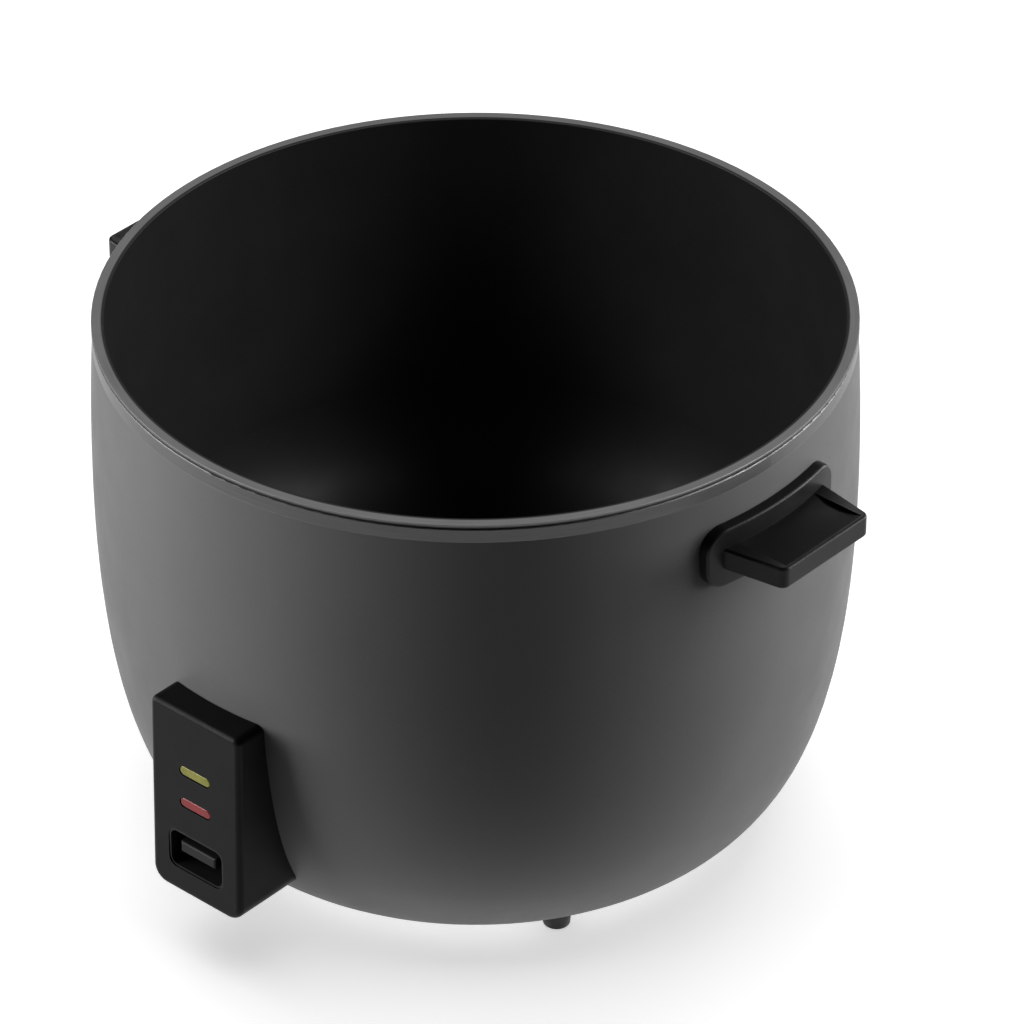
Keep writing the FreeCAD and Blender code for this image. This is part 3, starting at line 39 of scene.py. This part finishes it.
# ---------------------------------------------------------------- material kit
class Finish:
    """One procedural material, with short calls that add its nodes."""

    def __init__(self, name):
        self.material = bpy.data.materials.new(name)
        self.material.use_nodes = True
        self.tree = self.material.node_tree
        self.shader = self.tree.nodes["Principled BSDF"]
        self.place = self.add("ShaderNodeTexCoord").outputs["Object"]
        self.normal = None

    def add(self, kind, **settings):
        node = self.tree.nodes.new(kind)
        for name, value in settings.items():
            setattr(node, name, value)
        return node

    def feed(self, socket, value):
        """Links an output into the socket, or sets the socket's own value."""
        if isinstance(value, bpy.types.NodeSocket):
            self.tree.links.new(value, socket)
        elif socket.type == "RGBA":
            socket.default_value = (*value, 1.0)
        else:
            socket.default_value = value

    def surface(self, **values):
        """Feeds the shader. An underscore in a name stands for a space in the socket's name."""
        for name, value in values.items():
            self.feed(self.shader.inputs[name.replace("_", " ")], value)

    # ---- arithmetic
    def math(self, operation, *terms):
        node = self.add("ShaderNodeMath", operation=operation)
        for socket, term in zip(node.inputs, terms):
            self.feed(socket, term)
        return node.outputs[0]

    def plus(self, first, second):
        return self.math("ADD", first, second)

    def times(self, first, second):
        return self.math("MULTIPLY", first, second)

    def spread(self, value, low, high, from_low=0.0, from_high=1.0):
        """The value's range from_low to from_high, carried to low to high and held there."""
        node = self.add("ShaderNodeMapRange", clamp=True)
        self.feed(node.inputs["Value"], value)
        for name, number in (("From Min", from_low), ("From Max", from_high),
                             ("To Min", low), ("To Max", high)):
            node.inputs[name].default_value = number
        return node.outputs[0]

    def rise(self, value, low, high):
        """0 up to low, 1 from high on."""
        return self.spread(value, 0.0, 1.0, low, high)

    def fall(self, value, low, high):
        """1 up to low, 0 from high on."""
        return self.spread(value, 1.0, 0.0, low, high)

    # ---- colour and relief
    def blend(self, share, first, second):
        node = self.add("ShaderNodeMix", data_type="RGBA")
        self.feed(node.inputs[0], share)
        self.feed(node.inputs[6], first)
        self.feed(node.inputs[7], second)
        return node.outputs[2]

    def mottle(self, pattern, first, second):
        """Two colours in soft patches, from a noise that keeps to the middle of its range."""
        return self.blend(self.rise(pattern, 0.3, 0.7), first, second)

    def relief(self, height, strength, depth):
        """Adds one more layer of bump on top of those before it. Depth is in metres."""
        node = self.add("ShaderNodeBump")
        node.inputs["Strength"].default_value = strength
        node.inputs["Distance"].default_value = depth
        self.feed(node.inputs["Height"], height)
        if self.normal:
            self.feed(node.inputs["Normal"], self.normal)
        self.normal = node.outputs["Normal"]
        self.feed(self.shader.inputs["Normal"], self.normal)

    # ---- patterns
    def noise(self, scale, detail=2.0, roughness=0.5, where=None):
        node = self.add("ShaderNodeTexNoise")
        self.feed(node.inputs["Vector"], where or self.place)
        node.inputs["Scale"].default_value = scale
        node.inputs["Detail"].default_value = detail
        node.inputs["Roughness"].default_value = roughness
        return node.outputs["Fac"]

    def cells(self, scale, output="Distance"):
        node = self.add("ShaderNodeTexVoronoi", feature="F1")
        self.feed(node.inputs["Vector"], self.place)
        node.inputs["Scale"].default_value = scale
        return node.outputs[output]

    def cell_tones(self, scale):
        """One grey for each cell of a cell pattern."""
        node = self.add("ShaderNodeRGBToBW")
        self.feed(node.inputs[0], self.cells(scale, "Color"))
        return node.outputs[0]

    # ---- places on the object
    def axes(self):
        node = self.add("ShaderNodeSeparateXYZ")
        self.feed(node.inputs[0], self.place)
        return node.outputs

    def join_axes(self, x, y, z):
        node = self.add("ShaderNodeCombineXYZ")
        for socket, value in zip(node.inputs, (x, y, z)):
            self.feed(socket, value)
        return node.outputs[0]

    def radius(self):
        """Distance from the Z axis."""
        x, y, z = self.axes()
        node = self.add("ShaderNodeVectorMath", operation="LENGTH")
        self.feed(node.inputs[0], self.join_axes(x, y, 0.0))
        return node.outputs["Value"]

    def around(self, turn_scale, cross_scale):
        """Coordinates for marks that run round the Z axis: turn slow, radius and height fine."""
        x, y, z = self.axes()
        turn = self.times(self.math("ARCTAN2", y, x), turn_scale)
        return self.join_axes(turn, self.times(self.radius(), cross_scale), self.times(z, cross_scale))

    def edges(self, reach):
        """0 on flat faces, up to 1 where the surface turns within the reach, broken up by noise."""
        bevel = self.add("ShaderNodeBevel", samples=4)
        bevel.inputs["Radius"].default_value = reach
        dot = self.add("ShaderNodeVectorMath", operation="DOT_PRODUCT")
        self.feed(dot.inputs[0], bevel.outputs[0])
        self.feed(dot.inputs[1], self.add("ShaderNodeNewGeometry").outputs["Normal"])
        turned = self.math("SUBTRACT", 1.0, dot.outputs["Value"])
        broken = self.spread(self.noise(220.0, 3.0), 0.35, 1.0, 0.3, 0.7)
        return self.times(self.rise(turned, 0.0, 1.0 / 6.0), broken)


def grey(value, blue=1.0):
    return (value, value, value * blue)


# ---------------------------------------------------------------- finishes, one per material slot
def drum_paint(f):
    """Charcoal satin paint with a fine metallic fleck that darkens at a slant, over a faint orange peel."""
    fleck = f.noise(2600.0, 1.0)
    base = f.mottle(f.noise(7.0, 3.0), grey(0.100, 1.02), grey(0.112, 1.02))
    base = f.blend(f.spread(fleck, 0.0, 0.5, 0.55, 0.75), base, grey(0.160))
    low_down = f.fall(f.axes()[2], 12.0 * MM, 75.0 * MM)
    dust = f.times(low_down, f.spread(f.noise(38.0, 4.0), 0.0, 0.16, 0.45, 0.75))
    base = f.blend(dust, base, grey(0.20))
    base = f.blend(f.times(f.edges(1.2 * MM), 0.5), base, grey(0.26))
    slant = f.add("ShaderNodeLayerWeight").outputs["Facing"]
    base = f.blend(f.spread(slant, 0.0, 0.42, 0.55, 0.90), base, grey(0.0))
    smear = f.noise(23.0, 4.0, 0.6)
    rough = f.plus(f.spread(smear, 0.40, 0.50, 0.3, 0.7), f.spread(fleck, -0.03, 0.03))
    f.surface(Base_Color=base, Roughness=rough, Specular_IOR_Level=0.09)
    f.relief(f.noise(420.0, 2.0), 0.05, 0.2 * MM)
    f.relief(fleck, 0.03, 0.03 * MM)


def band_metal(f):
    """Darkened rim band with fine turning marks round it."""
    marks = f.noise(1.0, 4.0, 0.65, f.around(6.0, 1900.0))
    base = f.mottle(marks, grey(0.050), grey(0.075))
    base = f.blend(f.times(f.edges(0.5 * MM), 0.7), base, grey(0.20))
    rough = f.plus(f.spread(marks, 0.36, 0.46), f.spread(f.noise(16.0, 3.0), -0.04, 0.05))
    f.surface(Base_Color=base, Metallic=0.45, Roughness=rough)
    f.relief(marks, 0.10, 0.05 * MM)


def pot_coating(f):
    """Black non-stick coat with a fine light fleck; the flange keeps a satin bare-metal face."""
    high_up = f.rise(f.axes()[2], BARE_HEIGHT - BARE_HEIGHT_SOFT, BARE_HEIGHT + BARE_HEIGHT_SOFT)
    outside = f.rise(f.radius(), BARE_RADIUS - BARE_RADIUS_SOFT, BARE_RADIUS + BARE_RADIUS_SOFT)
    bare = f.times(high_up, outside)
    speck = f.times(f.fall(f.cells(900.0), 0.10, 0.20), f.rise(f.noise(260.0, 1.0), 0.52, 0.60))
    coat = f.mottle(f.noise(9.0, 3.0), grey(0.015), grey(0.020))
    coat = f.blend(f.times(speck, 0.35), coat, grey(0.09))
    marks = f.noise(1.0, 3.0, 0.6, f.around(5.0, 1500.0))
    metal = f.mottle(marks, grey(0.18), grey(0.22))
    rough = f.plus(f.spread(f.noise(31.0, 4.0), 0.50, 0.60, 0.3, 0.7), f.spread(marks, -0.02, 0.02))
    f.surface(Base_Color=f.blend(bare, coat, metal), Metallic=f.times(bare, 0.55), Roughness=rough,
              Specular_IOR_Level=0.22)
    f.relief(f.noise(1300.0, 2.0), 0.10, 0.05 * MM)
    f.relief(f.times(marks, bare), 0.08, 0.04 * MM)


def jacket_steel(f):
    """Aluminised sheet with a soft spangle and a heat tint low down."""
    spangle = f.cell_tones(70.0)
    base = f.blend(spangle, grey(0.44), grey(0.60))
    low_down = f.fall(f.axes()[2], 60.0 * MM, 160.0 * MM)
    heat = f.times(low_down, f.spread(f.noise(25.0, 3.0), 0.2, 0.8))
    base = f.blend(f.times(heat, 0.5), base, (0.36, 0.27, 0.17))
    f.surface(Base_Color=base, Metallic=0.95, Roughness=f.spread(spangle, 0.28, 0.42))
    f.relief(f.noise(500.0, 2.0), 0.06, 0.1 * MM)


def moulded_plastic(f, tone, sheen):
    """Moulded black plastic: spark-eroded grain, softly polished edges painted lighter as wear and as a
    painted highlight, faint handling marks.
    """
    grain = f.noise(1500.0, 3.0, 0.6)
    worn = f.edges(0.9 * MM)
    base = f.mottle(f.noise(45.0, 4.0), grey(0.85 * tone, 1.02), grey(1.15 * tone, 1.02))
    # Edges painted lighter: partly wear, partly a painted highlight along the bevels.
    base = f.blend(f.times(worn, 0.55), base, grey(0.045))
    handling = f.spread(f.noise(60.0, 4.0), -0.07, 0.07, 0.3, 0.7)
    rough = f.plus(f.spread(grain, 0.36, 0.44), handling)
    rough = f.math("SUBTRACT", rough, f.times(worn, 0.10))
    f.surface(Base_Color=base, Roughness=rough, Specular_IOR_Level=sheen)
    f.relief(grain, 0.16, 0.05 * MM)


def black_plastic(f):
    """Handles, tab and inlet."""
    moulded_plastic(f, tone=0.008, sheen=0.12)


def box_plastic(f):
    """The control box: a copy of the black plastic, painted darker and flatter than the other mouldings as
    painted shade.
    """
    moulded_plastic(f, tone=0.006, sheen=0.07)


def foot_rubber(f):
    """Matt black rubber with pores and floor dust."""
    low_down = f.spread(f.axes()[2], 1.0, 0.2, 0.0, 8.0 * MM)
    dust = f.times(f.spread(f.noise(150.0, 4.0), 0.0, 0.35, 0.45, 0.7), low_down)
    f.surface(Base_Color=f.blend(dust, grey(0.012), grey(0.10)),
              Roughness=f.spread(f.noise(400.0), 0.72, 0.92))
    f.relief(f.noise(1100.0, 3.0), 0.35, 0.08 * MM)


def cast_aluminium(f):
    """Cast plate with a turned face: rings round Z over a cast grain, browned in patches."""
    rings = f.noise(1.0, 2.0, 0.5, f.around(3.0, 1100.0))
    grain = f.noise(300.0, 4.0, 0.6)
    base = f.mottle(grain, grey(0.50), grey(0.66))
    base = f.blend(f.spread(f.noise(17.0, 4.0), 0.0, 0.45, 0.5, 0.75), base, (0.40, 0.33, 0.24))
    f.surface(Base_Color=base, Metallic=0.9, Roughness=f.spread(rings, 0.30, 0.46))
    f.relief(rings, 0.14, 0.06 * MM)
    f.relief(grain, 0.10, 0.1 * MM)


def element_steel(f):
    """Oxidised tube of the heating element: brown and blue heat tints, dull scale."""
    base = f.blend(f.rise(f.noise(30.0, 3.0), 0.35, 0.65), (0.22, 0.17, 0.13), (0.16, 0.17, 0.21))
    scale = f.noise(600.0, 4.0, 0.65)
    f.surface(Base_Color=f.blend(f.spread(scale, 0.0, 0.5, 0.5, 0.8), base, grey(0.33)),
              Metallic=0.8, Roughness=f.spread(scale, 0.42, 0.62))
    f.relief(scale, 0.2, 0.08 * MM)


def zinc_steel(f):
    """Zinc-plated steel: bluish cast, mottled plating, brighter worn edges."""
    plating = f.noise(55.0, 4.0, 0.6)
    fine = f.noise(900.0, 2.0)
    base = f.mottle(plating, (0.47, 0.48, 0.50), (0.62, 0.62, 0.60))
    base = f.blend(f.times(f.edges(0.4 * MM), 0.6), base, grey(0.80))
    rough = f.plus(f.spread(plating, 0.26, 0.40, 0.3, 0.7), f.spread(fine, -0.03, 0.03))
    f.surface(Base_Color=base, Metallic=0.95, Roughness=rough)
    f.relief(fine, 0.08, 0.04 * MM)


def spring_steel(f):
    """Drawn wire with dark drawing lines."""
    lines = f.noise(700.0, 3.0, 0.6)
    f.surface(Base_Color=f.blend(f.rise(lines, 0.35, 0.65), grey(0.34), grey(0.52)),
              Metallic=0.95, Roughness=f.spread(lines, 0.22, 0.36))
    f.relief(lines, 0.08, 0.03 * MM)


def ferrite(f):
    """Ground ferrite ceramic: near black with sparkling grains and small chips."""
    base = f.blend(f.rise(f.cell_tones(1600.0), 0.6, 0.9), grey(0.030), grey(0.085))
    base = f.blend(f.times(f.edges(0.4 * MM), 0.5), base, grey(0.14))
    f.surface(Base_Color=base, Metallic=0.35, Roughness=f.spread(f.noise(200.0), 0.42, 0.60))
    f.relief(f.noise(900.0, 3.0), 0.18, 0.06 * MM)


def brass(f):
    """Machined brass, slightly tarnished."""
    tarnish = f.noise(120.0, 4.0)
    base = f.blend(f.spread(tarnish, 0.0, 0.8, 0.4, 0.75), (0.74, 0.55, 0.25), (0.40, 0.27, 0.12))
    f.surface(Base_Color=base, Metallic=0.98, Roughness=f.spread(tarnish, 0.20, 0.40))
    f.relief(f.noise(1500.0, 2.0), 0.08, 0.03 * MM)


def inlet_plating(f):
    """Bright nickel on the inlet's pins, with rubbed tracks along Y, the way a plug slides on."""
    x, y, z = f.axes()
    along = f.join_axes(f.times(x, 2600.0), f.times(y, 60.0), f.times(z, 2600.0))
    tracks = f.noise(1.0, 3.0, 0.6, along)
    f.surface(Base_Color=f.blend(tracks, (0.62, 0.60, 0.56), (0.80, 0.79, 0.75)), Metallic=1.0,
              Roughness=f.spread(tracks, 0.14, 0.34))
    f.relief(tracks, 0.08, 0.03 * MM)


def switch_plastic(f):
    """Matt phenolic moulding."""
    grain = f.noise(1200.0, 3.0, 0.6)
    base = f.mottle(f.noise(70.0, 3.0), grey(0.017), grey(0.028))
    base = f.blend(f.times(f.edges(0.4 * MM), 0.4), base, grey(0.07))
    f.surface(Base_Color=base, Roughness=f.spread(grain, 0.44, 0.58))
    f.relief(grain, 0.16, 0.05 * MM)


def white_plastic(f):
    """Off-white heat-resistant ceramic and nylon, yellowed in patches."""
    base = f.blend(f.rise(f.noise(45.0, 4.0), 0.35, 0.75), (0.74, 0.73, 0.69), (0.66, 0.61, 0.50))
    f.surface(Base_Color=base, Roughness=f.spread(f.noise(300.0, 3.0), 0.40, 0.58))
    f.relief(f.noise(1000.0, 3.0), 0.14, 0.06 * MM)


def lens(f, deep, bright):
    """Tinted pill lens: fine vertical prisms inside, and a paler middle painted in as light from the lamp
    behind it.
    """
    x = f.axes()[0]
    # Paler middle: painted light from the lamp behind the lens.
    middle = f.fall(f.math("ABSOLUTE", x), 2.0 * MM, 11.0 * MM)
    speckle = f.noise(500.0, 3.0)
    base = f.blend(f.times(middle, f.spread(speckle, 0.6, 1.0, 0.3, 0.7)), deep, bright)
    prism_pitch = 0.9 * MM
    prisms = f.math("SINE", f.times(x, 2.0 * math.pi / prism_pitch))
    f.surface(Base_Color=base, Roughness=f.spread(speckle, 0.20, 0.30), Specular_IOR_Level=0.25,
              Coat_Weight=0.12, Coat_Roughness=0.12,
              Subsurface_Weight=0.25, Subsurface_Radius=(2.0 * MM, 2.0 * MM, 1.0 * MM))
    f.relief(prisms, 0.12, 0.08 * MM)


def lens_yellow(f):
    lens(f, deep=(0.15, 0.14, 0.010), bright=(0.21, 0.205, 0.022))


def lens_red(f):
    lens(f, deep=(0.15, 0.003, 0.004), bright=(0.21, 0.004, 0.006))


def lamp_glass(f):
    """Neon lamp's glass: clear with a warm cast and drawn streaks."""
    streak = f.noise(150.0, 2.0)
    f.surface(Base_Color=f.blend(streak, (0.90, 0.82, 0.72), (0.96, 0.92, 0.86)),
              Roughness=f.spread(streak, 0.03, 0.10), Transmission_Weight=0.8, IOR=1.47)
    f.relief(f.noise(300.0), 0.05, 0.05 * MM)


def wire_sleeve(f):
    """Braided glass-fibre sleeving over the leads."""
    weave = f.add("ShaderNodeTexWave", wave_type="BANDS", bands_direction="DIAGONAL")
    f.feed(weave.inputs["Vector"], f.place)
    weave.inputs["Scale"].default_value = 420.0
    weave.inputs["Distortion"].default_value = 3.0
    weave.inputs["Detail"].default_value = 2.0
    threads = weave.outputs["Fac"]
    base = f.blend(threads, (0.42, 0.39, 0.33), (0.66, 0.63, 0.56))
    soil = f.spread(f.noise(60.0, 3.0), 0.0, 0.4, 0.5, 0.8)
    base = f.blend(soil, base, (0.30, 0.25, 0.18))
    f.surface(Base_Color=base, Roughness=f.spread(threads, 0.62, 0.85))
    f.relief(threads, 0.5, 0.12 * MM)


def heater_band(f):
    """Mica band heater: brown flakes under a dull lacquer."""
    flakes = f.cell_tones(190.0)
    f.surface(Base_Color=f.blend(flakes, (0.24, 0.15, 0.08), (0.50, 0.37, 0.22)), Metallic=0.2,
              Roughness=f.spread(flakes, 0.30, 0.55))
    f.relief(flakes, 0.12, 0.08 * MM)


FINISHES = (drum_paint, band_metal, pot_coating, jacket_steel, black_plastic, foot_rubber,
            cast_aluminium, element_steel, zinc_steel, spring_steel, ferrite, brass, inlet_plating,
            switch_plastic, white_plastic, lens_yellow, lens_red, lamp_glass, wire_sleeve, heater_band,
            box_plastic)


def dress_nodes():
    """Swaps each CAD node's plain slot colour for the finish of that name."""
    made = {}
    for describe in FINISHES:
        finish = Finish("look_" + describe.__name__)
        describe(finish)
        made[describe.__name__] = finish.material
    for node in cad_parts.values():
        for place in node.material_slots:
            place.material = made[place.material.name.split(".")[0]]
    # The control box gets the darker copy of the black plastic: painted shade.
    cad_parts["control_housing"].material_slots[0].material = made["box_plastic"]


# ---------------------------------------------------------------- studio
CAMERA_PLACE = Vector((1.985, -2.206, 2.202))
CAMERA_AIM = Vector((0.0537, -0.0308, 0.2216))
CAMERA_LENS = 229.4              # millimetres
CAMERA_SENSOR = 36.0             # millimetres
CAMERA_REACH = 60.0
FRONT_AZIMUTH = 41.98            # degrees, the camera's side of the object

LIGHT_AIM = Vector((0.0, 0.0, 0.16))
BOUNCE_RADIUS = 0.27
BOUNCE_POWER = 1.3
FLOOR_HALF = 9.0
FLOOR_GLOW = 0.55
WORLD_TONE = 0.90
WORLD_STRENGTH = 0.04


def direction(turn, rise):
    """Unit vector at a turn from the camera's azimuth (positive to its right) and a rise, in degrees."""
    a = math.radians(FRONT_AZIMUTH + turn)
    e = math.radians(rise)
    return Vector((math.sin(a) * math.cos(e), -math.cos(a) * math.cos(e), math.sin(e)))


def show(each):
    """Puts an object into the scene."""
    bpy.context.scene.collection.objects.link(each)
    return each


def floor_sheet():
    """White paper floor. A little glow of its own stands in for the photographer's white sweep."""
    paper = Finish("floor_paper")
    paper.surface(Base_Color=paper.blend(paper.noise(3.0, 3.0), grey(0.88), grey(0.92)),
                  Roughness=paper.spread(paper.noise(400.0), 0.75, 0.9), Specular_IOR_Level=0.1,
                  Emission_Color=grey(1.0), Emission_Strength=FLOOR_GLOW)
    paper.relief(paper.noise(500.0, 3.0), 0.03, 0.1 * MM)
    mesh = bpy.data.meshes.new("floor")
    corners = [(x * FLOOR_HALF, y * FLOOR_HALF, 0.0) for x, y in ((-1, -1), (1, -1), (1, 1), (-1, 1))]
    mesh.from_pydata(corners, [], [(0, 1, 2, 3)])
    mesh.materials.append(paper.material)
    floor = show(bpy.data.objects.new("floor", mesh))
    floor.visible_diffuse = False
    return floor


def dim_world():
    world = bpy.data.worlds.new("studio")
    world.use_nodes = True
    background = world.node_tree.nodes["Background"]
    background.inputs["Color"].default_value = (*grey(WORLD_TONE), 1.0)
    background.inputs["Strength"].default_value = WORLD_STRENGTH
    bpy.context.scene.world = world


def receivers(name, objects):
    """A collection that lights can be limited to. It stays out of the scene's own tree."""
    group = bpy.data.collections.new(name)
    for each in objects:
        group.objects.link(each)
    return group


def area_light(name, shape, power, lit):
    data = bpy.data.lights.new(name, "AREA")
    data.shape = shape
    data.energy = power
    lamp = show(bpy.data.objects.new(name, data))
    lamp.light_linking.receiver_collection = lit
    return lamp


def soft_box(name, turn, rise, distance, size, power, lit):
    """A rectangular soft box aimed at the middle of the object, for the objects in one group."""
    lamp = area_light(name, "RECTANGLE", power, lit)
    lamp.data.size, lamp.data.size_y = size
    lamp.location = LIGHT_AIM + direction(turn, rise) * distance
    lamp.rotation_euler = (LIGHT_AIM - lamp.location).to_track_quat("-Z", "Y").to_euler()


def bounce_light(lit):
    """A disc just above the floor that stands in for light thrown back by the paper."""
    lamp = area_light("floor_bounce", "DISK", BOUNCE_POWER, lit)
    lamp.data.size = 2.0 * BOUNCE_RADIUS
    lamp.location = (0.0, 0.0, 1.0 * MM)
    lamp.rotation_euler = (math.pi, 0.0, 0.0)
    lamp.visible_camera = False
    lamp.visible_glossy = False


def lights(floor):
    """Lights the dark pot, the rest of the object and the floor, each by lights of its own."""
    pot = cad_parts["inner_pot"]
    outside = receivers("lit_outside", [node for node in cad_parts.values() if node != pot])
    inside = receivers("lit_pot", [pot])
    paper = receivers("lit_floor", [floor])
    # Name, turn and rise in degrees, distance and size in metres, watts, and what it lights.
    soft_boxes = (
        ("left_low_box", -90.0, 8.0, 2.0, (1.5, 0.9), 53.0, outside),
        ("right_low_box", 104.0, 8.0, 2.0, (1.5, 0.9), 60.0, outside),
        ("left_mid_box", -88.0, 33.0, 2.2, (1.0, 0.8), 17.0, outside),
        ("right_mid_box", 88.0, 33.0, 2.2, (1.0, 0.8), 17.0, outside),
        ("left_pot_box", -95.0, 44.0, 2.2, (0.8, 0.6), 38.0, inside),
        ("right_pot_box", 95.0, 44.0, 2.2, (0.8, 0.6), 42.0, inside),
        ("back_box", 172.0, 38.0, 2.6, (1.8, 0.8), 16.0, outside),
        ("floor_box", 180.0, 80.0, 3.0, (4.0, 4.0), 125.0, paper),
    )
    for box in soft_boxes:
        soft_box(*box)
    bounce_light(outside)


def photo_camera():
    data = bpy.data.cameras.new("camera")
    data.sensor_width = CAMERA_SENSOR
    data.lens = CAMERA_LENS
    data.clip_end = CAMERA_REACH
    camera = show(bpy.data.objects.new("camera", data))
    camera.location = CAMERA_PLACE
    camera.rotation_euler = (CAMERA_AIM - CAMERA_PLACE).to_track_quat("-Z", "Y").to_euler()
    bpy.context.scene.camera = camera


dress_nodes()
dim_world()
lights(floor_sheet())
photo_camera()
bpy.context.scene.view_settings.view_transform = "Standard"
